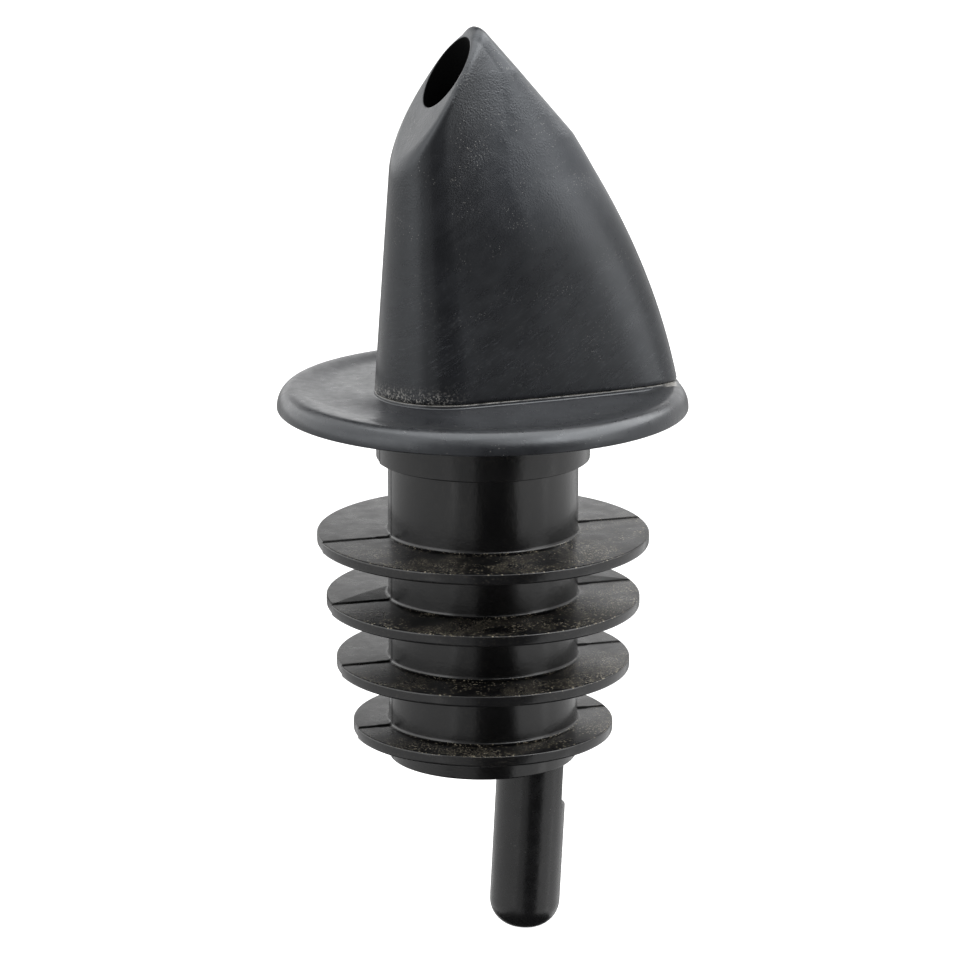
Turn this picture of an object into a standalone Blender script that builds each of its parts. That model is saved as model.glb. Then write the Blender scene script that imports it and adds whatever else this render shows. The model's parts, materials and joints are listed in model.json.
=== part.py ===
"""Measuring liquor pour spout.

A slant-cut hood stands on a round collar, a four-finned cork grips the bottle neck, and a closed
metering tube with a side window hangs from the cork. Two steel balls in that tube time the shot:
tip the bottle and they travel up to the seat in the valve block and shut off the flow. Air comes
back into the bottle through a bent vent tube, which a third ball keeps free of liquor.

Frame: +Z up along the cork's axis, XZ the plane of symmetry, liquor pours towards -X. The origin
is on the cork's axis in the plane of the collar's underside, which rests on the bottle's lip.
"""

import math

import bmesh
import bpy
from mathutils import Vector

MM = 0.001
FIT_GAP = 0.1 * MM  # between pieces that touch on the real object

# Collar
COLLAR_RADIUS = 15.8 * MM
COLLAR_CREST_RADIUS = 14.6 * MM
COLLAR_CREST_Z = 1.63 * MM
COLLAR_DISH_RADIUS = 12.6 * MM
COLLAR_DISH_Z = 1.3 * MM
COLLAR_EDGE_ROUNDING = 0.15 * MM
COLLAR_BORE_RADIUS = 3.7 * MM
SLEEVE_RADIUS = 8.26 * MM
SLEEVE_RECESS = 0.3 * MM  # the cork's sleeve stands this deep in the collar's underside
SPIGOT_RADIUS = 6.3 * MM
SPIGOT_BORE_RADIUS = 5.3 * MM
SPIGOT_LENGTH = 14.0 * MM
SPIGOT_ROOF = 1.0 * MM  # depth below the collar's underside at which the wide bore ends
LOCATING_RIM_HEIGHT = 1.6 * MM
LOCATING_RIM_WALL = 0.8 * MM

# Hood. Its plan is a round nose, two nearly parallel sides and a squared back. X is the distance
# behind the cork's axis, so the nose's centre is at a negative X.
SEAM_Z = 1.65 * MM
TIP_Z = 29.4 * MM
HOOD_WALL = 1.2 * MM
HOLLOW_TOP_Z = 21.0 * MM
NOSE_TOP_Z = 20.5 * MM  # above this height the nose is an upright cylinder
NOSE_CENTRE_BASE = -3.2 * MM
NOSE_CENTRE_TOP = -4.2 * MM
NOSE_RADIUS_BASE = 5.35 * MM
NOSE_RADIUS_TOP = 3.15 * MM
NOSE_RADIUS_TIP = 2.85 * MM
BACK_BASE_X = 14.95 * MM
BACK_KINK_X = 7.25 * MM
BACK_KINK_Z = 20.9 * MM
BACK_TIP_X = 0.0 * MM
BACK_ARC_SHARE = 0.62  # how much of the back's run is arc, the rest is straight
SIDE_BASE = 5.9 * MM  # half width
SIDE_SHOULDER = 3.85 * MM
SIDE_SHOULDER_Z = 18.9 * MM
SIDE_TIP = 0.7 * MM
BACK_CORNER_X = 5.0 * MM  # where the sides start turning into the back
SQUARE_BASE = 5.0  # superellipse power of the back at the seam
SQUARE_TOP = 2.0
SQUARE_END_Z = 18.0 * MM
FACET_POINT = Vector((-3.0 * MM, 0.0, 26.1 * MM))
FACET_SLOPE = math.radians(57.0)
OUTLET_RADIUS = 2.2 * MM
OUTLET_TILT = math.radians(15.0)
OUTLET_DEPTH = 9.0 * MM
VENT_HOLE_RADIUS = 1.0 * MM
VENT_Z = 8.0 * MM

# Cork
CORK_BORE_RADIUS = SPIGOT_RADIUS + FIT_GAP
SLEEVE_TOP_Z = SLEEVE_RECESS - FIT_GAP
SLEEVE_BOTTOM_Z = -3.94 * MM
STEM_RADIUS = 7.37 * MM
STEM_FOOT_RADIUS = 7.3 * MM
CORK_BOTTOM_Z = -27.7 * MM
CORK_FLOOR = 3.0 * MM
FIN_TOP_Z = (-9.8 * MM, -14.8 * MM, -19.75 * MM, -24.9 * MM)
FIN_RADII = (12.85 * MM, 12.15 * MM, 11.4 * MM, 10.12 * MM)
FIN_THICKNESS = 0.87 * MM
FIN_ROOT_EXTRA = 0.25 * MM

# Metering tube, on its own axis: zero at the cork's bottom face, positive up
TUBE_OFFSET = 4.13 * MM
TUBE_AZIMUTH = math.radians(-8.0)  # the cork is pressed on a little turned from the hood
TUBE_LEAN = math.radians(3.0)  # the foot leans in towards the cork's axis
TUBE_RADIUS = 2.75 * MM
TUBE_BORE_RADIUS = 2.15 * MM
TUBE_FOOT = -14.95 * MM
TUBE_FLOOR = 0.9 * MM
TUBE_FOOT_ROUNDING = 2.0 * MM
WINDOW_TOP = -0.6 * MM
WINDOW_BOTTOM = -4.7 * MM
WINDOW_WIDTH = 2.4 * MM
WINDOW_AZIMUTH = math.radians(-20.0)
METERING_BALL_RADIUS = 3.969 / 2 * MM
BALL_REST_GAP = 0.02 * MM

# Valve block and vent
BLOCK_RADIUS = 6.25 * MM
BLOCK_HEIGHT = 5.0 * MM
METERING_SEAT_RADIUS = 1.5 * MM
VENT_X = -2.0 * MM
VENT_TUBE_RADIUS = 1.6 * MM
VENT_TUBE_BORE_RADIUS = 1.0 * MM
VENT_SOCKET_DEPTH = 0.8 * MM
VENT_SEAT_RADIUS = 1.0 * MM
VENT_POCKET_RADIUS = 1.75 * MM
VENT_POCKET_DEPTH = 3.4 * MM
VENT_BALL_RADIUS = 1.5 * MM
VENT_BEND_RADIUS = 5.0 * MM
RETAINER_RADIUS = 1.85 * MM
RETAINER_BORE_RADIUS = 1.0 * MM

ROUND_STEPS = 56
SMALL_STEPS = 28
SHARP_ANGLE = math.radians(35.0)


def lerp(start, end, share):
    return start + (end - start) * share


def clear_scene():
    for obj in list(bpy.data.objects):
        bpy.data.objects.remove(obj, do_unlink=True)


def plastic(name, colour, roughness):
    return surface(name, colour, roughness, 0.0)


def surface(name, colour, roughness, metallic):
    made = bpy.data.materials.new(name)
    made.use_nodes = True
    shader = made.node_tree.nodes["Principled BSDF"]
    shader.inputs["Base Color"].default_value = (*colour, 1.0)
    shader.inputs["Roughness"].default_value = roughness
    shader.inputs["Metallic"].default_value = metallic
    return made


def add_object(name, points, faces, material=None, parent=None):
    """A closed mesh as an object, its faces turned outwards and its round stretches smooth."""
    mesh = bpy.data.meshes.new(name)
    mesh.from_pydata([tuple(point) for point in points], [], faces)
    shape = bmesh.new()
    shape.from_mesh(mesh)
    bmesh.ops.recalc_face_normals(shape, faces=shape.faces)
    shape.to_mesh(mesh)
    shape.free()
    mesh.shade_smooth()
    mesh.set_sharp_from_angle(angle=SHARP_ANGLE)
    obj = bpy.data.objects.new(name, mesh)
    bpy.context.scene.collection.objects.link(obj)
    obj.parent = parent
    if material:
        mesh.materials.append(material)
    return obj


def turned(name, profile, material=None, parent=None, steps=ROUND_STEPS):
    """A closed profile of (radius, z) points turned about Z. Points on the axis become one vertex."""
    points = []
    rings = []
    for radius, z in profile:
        if radius == 0.0:
            rings.append([len(points)] * steps)
            points.append((0.0, 0.0, z))
            continue
        rings.append(list(range(len(points), len(points) + steps)))
        for step in range(steps):
            angle = 2 * math.pi * (step + 0.5) / steps
            points.append((radius * math.cos(angle), radius * math.sin(angle), z))
    faces = []
    for first, second in zip(rings, rings[1:] + rings[:1]):
        for step in range(steps):
            after = (step + 1) % steps
            corners = [first[step], first[after], second[after], second[step]]
            corners = list(dict.fromkeys(corners))
            if len(corners) > 2:
                faces.append(corners)
    return add_object(name, points, faces, material, parent)


def lofted(name, rings, material=None):
    """A solid skinned over rings of equal length, with a flat cap on the first and the last."""
    count = len(rings[0])
    points = [point for ring in rings for point in ring]
    faces = [tuple(range(count))]
    faces.append(tuple(range(len(points) - count, len(points))))
    for row in range(len(rings) - 1):
        low = row * count
        for step in range(count):
            after = (step + 1) % count
            faces.append((low + step, low + after, low + count + after, low + count + step))
    return add_object(name, points, faces, material)


def cylinder(name, radius, bottom, top, parent=None, steps=SMALL_STEPS):
    """A solid rod along the local Z, used as a cutter or as a plug."""
    profile = [(0.0, top), (radius, top), (radius, bottom), (0.0, bottom)]
    made = turned(name, profile, None, parent, steps)
    return as_cutter(made)


def as_cutter(obj):
    obj.hide_render = True
    obj.display_type = "WIRE"
    return obj


def combine(target, tool, operation="DIFFERENCE"):
    """Cuts tool from target, or joins it on, with a Boolean modifier."""
    modifier = target.modifiers.new(f"{operation.lower()} {tool.name}", "BOOLEAN")
    modifier.operation = operation
    modifier.solver = "EXACT"
    modifier.object = as_cutter(tool)


def arc(centre, radius, start, end, steps):
    """Points on a circular arc in the profile plane, both ends included."""
    points = []
    for step in range(steps + 1):
        angle = math.radians(lerp(start, end, step / steps))
        points.append((centre[0] + radius * math.cos(angle), centre[1] + radius * math.sin(angle)))
    return points


def back_x(z):
    """Where the hood's back is at a height: a straight slope from the tip, then an arc to the seam."""
    if z >= BACK_KINK_Z:
        return lerp(BACK_KINK_X, BACK_TIP_X, (z - BACK_KINK_Z) / (TIP_Z - BACK_KINK_Z))
    left = 1.0 - (BACK_KINK_Z - z) / (BACK_KINK_Z - SEAM_Z)
    share = 1.0 - left * left * BACK_ARC_SHARE - left * (1.0 - BACK_ARC_SHARE)
    return lerp(BACK_KINK_X, BACK_BASE_X, share)


def nose(z):
    """The nose's centre and radius at a height."""
    lower = min((z - SEAM_Z) / (NOSE_TOP_Z - SEAM_Z), 1.0)
    upper = max((z - NOSE_TOP_Z) / (TIP_Z - NOSE_TOP_Z), 0.0)
    centre = lerp(NOSE_CENTRE_BASE, NOSE_CENTRE_TOP, lower)
    radius = lerp(NOSE_RADIUS_BASE, NOSE_RADIUS_TOP, lower)
    return centre, radius + (NOSE_RADIUS_TIP - NOSE_RADIUS_TOP) * upper


def half_width(z):
    if z < SIDE_SHOULDER_Z:
        return lerp(SIDE_BASE, SIDE_SHOULDER, (z - SEAM_Z) / (SIDE_SHOULDER_Z - SEAM_Z))
    share = (z - SIDE_SHOULDER_Z) / (TIP_Z - SIDE_SHOULDER_Z)
    return lerp(SIDE_SHOULDER, SIDE_TIP, share)


def hood_section(z, inset=0.0, steps=12, shape_z=None):
    """The hood's outline at a height: nose arc, straight sides tangent to it, superellipse back."""
    shape_z = z if shape_z is None else shape_z
    centre, radius = nose(shape_z)
    width = half_width(shape_z)
    back = back_x(shape_z)
    corner = min(BACK_CORNER_X, back - width)
    length = back - corner - inset
    squareness = max((SQUARE_END_Z - shape_z) / (SQUARE_END_Z - SEAM_Z), 0.0)
    power = lerp(SQUARE_TOP, SQUARE_BASE, squareness)
    splay = math.asin((width - radius) / (corner - centre))
    radius -= inset
    width -= inset
    side = []
    for step in range(steps + 1):
        angle = math.pi - (math.pi / 2 - splay) * step / steps
        side.append((centre + radius * math.cos(angle), radius * math.sin(angle)))
    for step in range(steps + 1):
        angle = math.pi / 2 * (1 - step / steps)
        along = math.cos(angle) ** (2 / power) if step else 0.0
        across = math.sin(angle) ** (2 / power) if step < steps else 0.0
        side.append((corner + length * along, width * across))
    outline = [(x, -y, z) for x, y in side]
    return outline + [(x, y, z) for x, y in reversed(side[1:-1])]


def cut_facet(hood):
    """Cuts the slanted face off the nose with a block whose lower face lies on it."""
    size = 30 * MM
    normal = Vector((-math.sin(FACET_SLOPE), 0.0, math.cos(FACET_SLOPE)))
    along = Vector((math.cos(FACET_SLOPE), 0.0, math.sin(FACET_SLOPE)))
    side = Vector((0.0, 1.0, 0.0))
    rings = []
    for depth in (0.0, size):
        middle = FACET_POINT + normal * depth
        corners = [(-1, -1), (1, -1), (1, 1), (-1, 1)]
        rings.append([middle + along * (size * a) + side * (size * b) for a, b in corners])
    combine(hood, lofted("facet_cutter", rings))


def make_hood(material):
    heights = [lerp(SEAM_Z + FIT_GAP / 2, SIDE_SHOULDER_Z, step / 9) for step in range(10)]
    heights += [BACK_KINK_Z]
    heights += [lerp(BACK_KINK_Z, TIP_Z, step / 10) for step in range(1, 11)]
    hood = lofted("hood", [hood_section(z) for z in heights], material)
    cut_facet(hood)
    hollow = [hood_section(SEAM_Z - HOOD_WALL, HOOD_WALL, shape_z=SEAM_Z)]
    hollow += [
        hood_section(lerp(SEAM_Z, HOLLOW_TOP_Z, step / 8), HOOD_WALL) for step in range(1, 9)
    ]
    combine(hood, lofted("hood_hollow_cutter", hollow))
    outlet = cylinder("outlet_cutter", OUTLET_RADIUS, -OUTLET_DEPTH, 2 * OUTLET_DEPTH)
    outlet.location = FACET_POINT
    outlet.rotation_euler = (0.0, -OUTLET_TILT, 0.0)
    combine(hood, outlet)
    vent = cylinder("vent_hole_cutter", VENT_HOLE_RADIUS, 0.0, 2 * BACK_CORNER_X)
    vent.location = (BACK_BASE_X - BACK_CORNER_X, 0.0, VENT_Z)
    vent.rotation_euler = (0.0, math.pi / 2, 0.0)
    combine(hood, vent)
    return hood


def make_collar(material):
    edge = COLLAR_EDGE_ROUNDING
    rim = arc((COLLAR_RADIUS - edge, edge), edge, -90, 0, 3)
    crest_drop = COLLAR_CREST_Z - edge
    crest_run = COLLAR_RADIUS - COLLAR_CREST_RADIUS
    crest = []
    for step in range(1, 7):
        angle = math.pi / 2 * step / 6
        crest.append(
            (
                COLLAR_CREST_RADIUS + crest_run * math.cos(angle),
                edge + crest_drop * math.sin(angle),
            )
        )
    recess_radius = SLEEVE_RADIUS + FIT_GAP
    profile = [(SPIGOT_RADIUS, SLEEVE_RECESS), (recess_radius, SLEEVE_RECESS), (recess_radius, 0.0)]
    profile += rim + crest
    profile += [
        (COLLAR_DISH_RADIUS, COLLAR_DISH_Z),
        (COLLAR_BORE_RADIUS, COLLAR_DISH_Z),
        (COLLAR_BORE_RADIUS, -SPIGOT_ROOF),
        (SPIGOT_BORE_RADIUS, -SPIGOT_ROOF),
        (SPIGOT_BORE_RADIUS, -SPIGOT_LENGTH),
        (SPIGOT_RADIUS, -SPIGOT_LENGTH),
    ]
    collar = turned("collar", profile, material)
    foot = COLLAR_DISH_Z / 2
    boss = lofted(
        "boss_shape",
        [
            hood_section(foot, shape_z=SEAM_Z),
            hood_section(SEAM_Z - FIT_GAP / 2, shape_z=SEAM_Z),
        ],
    )
    combine(collar, boss, "UNION")
    rim_inset = HOOD_WALL + FIT_GAP
    rim_top = SEAM_Z + LOCATING_RIM_HEIGHT
    locating_rim = lofted(
        "locating_rim_shape",
        [
            hood_section(foot, rim_inset, shape_z=SEAM_Z),
            hood_section(rim_top, rim_inset, shape_z=rim_top),
        ],
    )
    combine(collar, locating_rim, "UNION")
    rim_hollow = lofted(
        "locating_rim_cutter",
        [
            hood_section(SEAM_Z, rim_inset + LOCATING_RIM_WALL, shape_z=SEAM_Z),
            hood_section(
                rim_top + LOCATING_RIM_WALL, rim_inset + LOCATING_RIM_WALL, shape_z=rim_top
            ),
        ],
    )
    combine(collar, rim_hollow)
    bore = cylinder("collar_bore_cutter", COLLAR_BORE_RADIUS, -SPIGOT_ROOF / 2, 2 * rim_top)
    combine(collar, bore)
    return collar


def make_cork(material, tube_axis):
    outer = [(SLEEVE_RADIUS, SLEEVE_TOP_Z), (SLEEVE_RADIUS, SLEEVE_BOTTOM_Z)]
    outer.append((STEM_RADIUS, SLEEVE_BOTTOM_Z))
    for top, radius in zip(FIN_TOP_Z, FIN_RADII):
        under = top - FIN_THICKNESS
        outer += [(STEM_RADIUS, top), (radius, top), (radius, under)]
        outer.append((STEM_RADIUS, under - FIN_ROOT_EXTRA))
    floor_top = CORK_BOTTOM_Z + CORK_FLOOR
    profile = outer + [
        (STEM_FOOT_RADIUS, CORK_BOTTOM_Z),
        (0.0, CORK_BOTTOM_Z),
        (0.0, floor_top),
        (CORK_BORE_RADIUS, floor_top),
        (CORK_BORE_RADIUS, SLEEVE_TOP_Z),
    ]
    cork = turned("cork", profile, material)
    socket_radius = TUBE_RADIUS + FIT_GAP
    socket_top = CORK_FLOOR + FIT_GAP
    combine(cork, cylinder("tube_socket_cutter", socket_radius, -CORK_FLOOR, socket_top, tube_axis))
    vent_socket = cylinder(
        "retainer_socket_cutter",
        RETAINER_RADIUS + FIT_GAP,
        CORK_BOTTOM_Z - CORK_FLOOR,
        floor_top + CORK_FLOOR / 2,
    )
    vent_socket.location.x = VENT_X
    combine(cork, vent_socket)
    return cork


def make_metering_tube(material, tube_axis):
    top = CORK_FLOOR - 2 * FIT_GAP
    foot = TUBE_FOOT_ROUNDING
    inner_foot = foot - TUBE_FLOOR / 2
    floor = TUBE_FOOT + TUBE_FLOOR
    outer_arc = arc((TUBE_RADIUS - foot, TUBE_FOOT + foot), foot, 0, -90, 6)
    inner_arc = arc((TUBE_BORE_RADIUS - inner_foot, floor + inner_foot), inner_foot, -90, 0, 5)
    profile = [(TUBE_BORE_RADIUS, top), (TUBE_RADIUS, top)] + outer_arc
    profile += [(0.0, TUBE_FOOT), (0.0, floor)] + inner_arc
    tube = turned("metering_tube", profile, material, tube_axis, SMALL_STEPS + 8)
    half = WINDOW_WIDTH / 2
    corners = [(0.0, -half), (2 * TUBE_RADIUS, -half), (2 * TUBE_RADIUS, half), (0.0, half)]
    window = lofted(
        "window_cutter", [[(x, y, z) for x, y in corners] for z in (WINDOW_BOTTOM, WINDOW_TOP)]
    )
    window.parent = tube_axis
    window.rotation_euler = (0.0, 0.0, WINDOW_AZIMUTH)
    combine(tube, window)
    return tube


def make_ball(name, radius, location, material, parent=None):
    mesh = bpy.data.meshes.new(name)
    shape = bmesh.new()
    bmesh.ops.create_uvsphere(shape, u_segments=20, v_segments=12, radius=radius)
    shape.to_mesh(mesh)
    shape.free()
    mesh.shade_smooth()
    mesh.materials.append(material)
    ball = bpy.data.objects.new(name, mesh)
    bpy.context.scene.collection.objects.link(ball)
    ball.parent = parent
    ball.location = location
    return ball


def make_metering_balls(material, tube_axis):
    lowest = TUBE_FOOT + TUBE_FLOOR + METERING_BALL_RADIUS + BALL_REST_GAP
    pitch = 2 * METERING_BALL_RADIUS + BALL_REST_GAP
    for step, name in enumerate(("metering_ball_lower", "metering_ball_upper")):
        place = (0.0, 0.0, lowest + step * pitch)
        make_ball(name, METERING_BALL_RADIUS, place, material, tube_axis)


def make_valve_block(material, tube_axis):
    bottom = CORK_BOTTOM_Z + CORK_FLOOR + FIT_GAP
    top = bottom + BLOCK_HEIGHT
    profile = [(0.0, top), (BLOCK_RADIUS, top), (BLOCK_RADIUS, bottom), (0.0, bottom)]
    block = turned("valve_block", profile, material)
    reach = CORK_FLOOR + 3 * BLOCK_HEIGHT
    combine(block, cylinder("metering_port_cutter", METERING_SEAT_RADIUS, 0.0, reach, tube_axis))
    pocket_top = bottom + VENT_POCKET_DEPTH
    socket_bottom = top - VENT_SOCKET_DEPTH
    socket_radius = VENT_TUBE_RADIUS + FIT_GAP
    stepped = [
        (0.0, top + FIT_GAP),
        (socket_radius, top + FIT_GAP),
        (socket_radius, socket_bottom),
        (VENT_SEAT_RADIUS, socket_bottom),
        (VENT_SEAT_RADIUS, pocket_top),
        (VENT_POCKET_RADIUS, pocket_top),
        (VENT_POCKET_RADIUS, bottom - FIT_GAP),
        (0.0, bottom - FIT_GAP),
    ]
    vent_bore = turned("vent_bore_cutter", stepped, steps=SMALL_STEPS)
    vent_bore.location.x = VENT_X
    combine(block, vent_bore)
    return block


def make_retainer(material):
    bottom = CORK_BOTTOM_Z
    top = CORK_BOTTOM_Z + CORK_FLOOR - FIT_GAP
    profile = [
        (RETAINER_BORE_RADIUS, top),
        (RETAINER_RADIUS, top),
        (RETAINER_RADIUS, bottom),
        (RETAINER_BORE_RADIUS, bottom),
    ]
    retainer = turned("vent_ball_retainer", profile, material, None, SMALL_STEPS)
    retainer.location.x = VENT_X
    return retainer


def make_vent_ball(material):
    """The ball rests in the retainer's mouth, its centre where that circle touches it."""
    mouth_z = CORK_BOTTOM_Z + CORK_FLOOR - FIT_GAP
    rise = math.sqrt(VENT_BALL_RADIUS**2 - RETAINER_BORE_RADIUS**2)
    place = (VENT_X, 0.0, mouth_z + rise + BALL_REST_GAP)
    make_ball("vent_ball", VENT_BALL_RADIUS, place, material)


def make_vent_tube(material):
    """A tube swept up from the valve block, through the collar, and back to the hood's vent hole."""
    block_top = CORK_BOTTOM_Z + CORK_FLOOR + FIT_GAP + BLOCK_HEIGHT
    foot = block_top - VENT_SOCKET_DEPTH + FIT_GAP
    end = back_x(VENT_Z + VENT_TUBE_RADIUS) - HOOD_WALL - 3 * FIT_GAP
    bend = VENT_BEND_RADIUS
    route = [(VENT_X, foot, 0.0)]
    for step in range(9):
        angle = math.pi / 2 * step / 8
        x = VENT_X + bend * (1 - math.cos(angle))
        route.append((x, VENT_Z - bend + bend * math.sin(angle), angle))
    route.append((end, VENT_Z, math.pi / 2))
    steps = 20
    points = []
    for radius in (VENT_TUBE_RADIUS, VENT_TUBE_BORE_RADIUS):
        for x, z, turn in route:
            for step in range(steps):
                around = 2 * math.pi * step / steps
                across = radius * math.cos(around)
                sideways = radius * math.sin(around)
                points.append((x + across * math.cos(turn), sideways, z - across * math.sin(turn)))
    rows = len(route)
    faces = []
    for skin in (0, rows * steps):
        for row in range(rows - 1):
            low = skin + row * steps
            for step in range(steps):
                after = (step + 1) % steps
                faces.append((low + step, low + after, low + steps + after, low + steps + step))
    for low in (0, (rows - 1) * steps):
        inner = low + rows * steps
        for step in range(steps):
            after = (step + 1) % steps
            faces.append((low + step, low + after, inner + after, inner + step))
    return add_object("vent_tube", points, faces, material)


def main():
    clear_scene()
    hood_black = plastic("hood_black", (0.035, 0.037, 0.042), 0.42)
    collar_black = plastic("collar_black", (0.040, 0.043, 0.048), 0.40)
    cork_black = plastic("cork_black", (0.022, 0.022, 0.023), 0.45)
    tube_black = plastic("tube_black", (0.018, 0.018, 0.020), 0.40)
    natural = plastic("natural_plastic", (0.72, 0.71, 0.66), 0.45)
    block_grey = plastic("block_grey", (0.32, 0.33, 0.34), 0.45)
    retainer_white = plastic("retainer_white", (0.80, 0.80, 0.78), 0.40)
    steel = surface("ball_steel", (0.60, 0.60, 0.62), 0.12, 1.0)
    tube_axis = bpy.data.objects.new("metering_axis", None)
    bpy.context.scene.collection.objects.link(tube_axis)
    tube_axis.location = (
        TUBE_OFFSET * math.cos(TUBE_AZIMUTH),
        TUBE_OFFSET * math.sin(TUBE_AZIMUTH),
        CORK_BOTTOM_Z,
    )
    tube_axis.rotation_euler = (0.0, TUBE_LEAN, TUBE_AZIMUTH)
    make_hood(hood_black)
    make_collar(collar_black)
    make_cork(cork_black, tube_axis)
    make_metering_tube(tube_black, tube_axis)
    make_metering_balls(steel, tube_axis)
    make_valve_block(block_grey, tube_axis)
    make_retainer(retainer_white)
    make_vent_ball(steel)
    make_vent_tube(natural)


main()
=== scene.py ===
"""Looks of the measuring liquor pour spout: moulded black plastic, soft finned cork, studio light.

Every length is in metres unless its name or a comment says otherwise. MM turns millimetres into metres.
"""

import json
import math

import bmesh
import bpy
import numpy as np
from mathutils import Matrix, Vector


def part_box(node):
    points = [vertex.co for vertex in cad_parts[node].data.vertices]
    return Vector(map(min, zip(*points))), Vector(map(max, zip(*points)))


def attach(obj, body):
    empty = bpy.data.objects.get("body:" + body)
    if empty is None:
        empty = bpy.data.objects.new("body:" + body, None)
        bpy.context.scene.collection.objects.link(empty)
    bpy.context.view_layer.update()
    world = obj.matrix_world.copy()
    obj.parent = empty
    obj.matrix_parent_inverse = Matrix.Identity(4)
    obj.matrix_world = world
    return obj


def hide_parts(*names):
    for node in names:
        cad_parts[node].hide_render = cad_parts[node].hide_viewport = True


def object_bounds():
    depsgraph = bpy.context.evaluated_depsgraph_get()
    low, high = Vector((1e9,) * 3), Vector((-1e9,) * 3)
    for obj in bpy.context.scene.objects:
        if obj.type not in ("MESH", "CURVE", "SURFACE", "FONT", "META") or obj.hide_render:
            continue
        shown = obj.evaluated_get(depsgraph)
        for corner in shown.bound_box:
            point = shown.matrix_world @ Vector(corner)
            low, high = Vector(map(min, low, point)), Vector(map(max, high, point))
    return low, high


MM = 0.001
UP = Vector((0.0, 0.0, 1.0))

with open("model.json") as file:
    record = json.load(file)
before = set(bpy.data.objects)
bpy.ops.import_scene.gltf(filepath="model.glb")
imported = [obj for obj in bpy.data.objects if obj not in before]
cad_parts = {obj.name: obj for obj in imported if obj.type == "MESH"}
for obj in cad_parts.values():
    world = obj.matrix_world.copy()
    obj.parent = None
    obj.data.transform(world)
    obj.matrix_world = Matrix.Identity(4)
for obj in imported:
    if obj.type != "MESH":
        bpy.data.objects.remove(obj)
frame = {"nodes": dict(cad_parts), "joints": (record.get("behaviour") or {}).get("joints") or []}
cad_low, cad_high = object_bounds()

joints = {joint["name"]: joint for joint in frame["joints"]}
TUBE_UP = Vector(joints["metering_ball_slide"]["axis"]).normalized()

# ---------------------------------------------------------------- hood's shape
hood_low, hood_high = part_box("hood")
SEAM_Z = hood_low.z
TIP_Z = hood_high.z
BACK_BASE_X = hood_high.x
HOOD_WALL = 1.2 * MM
HOLLOW_TOP_Z = 21.0 * MM
NOSE_TOP_Z = 20.5 * MM
NOSE_CENTRE = (-3.2 * MM, -4.2 * MM)  # at the seam, at the top of the taper
NOSE_RADIUS = (5.35 * MM, 3.15 * MM, 2.85 * MM)  # at the seam, at the top of the taper, at the tip
NOSE_RUN_ON = 1.2  # how far the upper part's shape goes on past the tip, as a share of its height
BACK_KINK_X = 7.25 * MM
BACK_KINK_Z = 20.9 * MM
BACK_TIP_X = -0.3 * MM
BACK_ARC_SHARE = 0.62  # how much of the back's line below the kink is arched; the rest is straight
SIDE_HALF = (5.9 * MM, 3.9 * MM, 1.3 * MM)  # half width at the seam, at the shoulder, at the tip
LEAST_SIDE_HALF = 0.4 * MM
SPLAY_LIMIT = 0.9  # the sine of the largest angle between a flank and the X axis
SIDE_SHOULDER_Z = 18.9 * MM
SHOULDER_ROUNDING = 0.9 * MM
CORNER_ROUNDING = 0.25 * MM  # of the back corners at the seam; it fades out up to the shoulder
BACK_CORNER_X = (5.0 * MM, 0.5 * MM)  # where the flank starts to curve: at the seam, above SQUARE_END_Z
SQUARENESS = (5.0, 2.4)  # the power of that curve at the same heights; two would be an ellipse
SQUARE_END_Z = 18.0 * MM
FACET_POINT = np.array((-3.0 * MM, 0.0, 26.1 * MM))
FACET_SLOPE = math.radians(57.0)
FACET_ROUNDING = 0.55 * MM
TIP_ROUNDING = 1.1 * MM
TIP_ROUNDING_Z = (26.8 * MM, 29.4 * MM)  # where the facet's narrow rounding starts and ends to widen
OUTLET_RADIUS = 2.2 * MM
OUTLET_TILT = math.radians(15.0)
LIP_ROUNDING = 0.14 * MM
SEAM_ROUNDING = 0.07 * MM
SEAM_EDGE = ((0.3, 0.3), (1.0, 0.0))  # inset and height of the rounded lower edge, as shares of that
CORE_X = 3.0 * MM  # inside every section near the seam
CORE_DEPTH = 6 * MM  # how far below the facet the rays to the hood's top start
ROUND = 288  # points around a ring
RAY_REACH = 30 * MM
LIP_RAY_REACH = 20 * MM
HALVINGS = 44
SHARP_ANGLE = math.radians(40.0)


def lerp(start, end, share):
    return start + (end - start) * share


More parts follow.
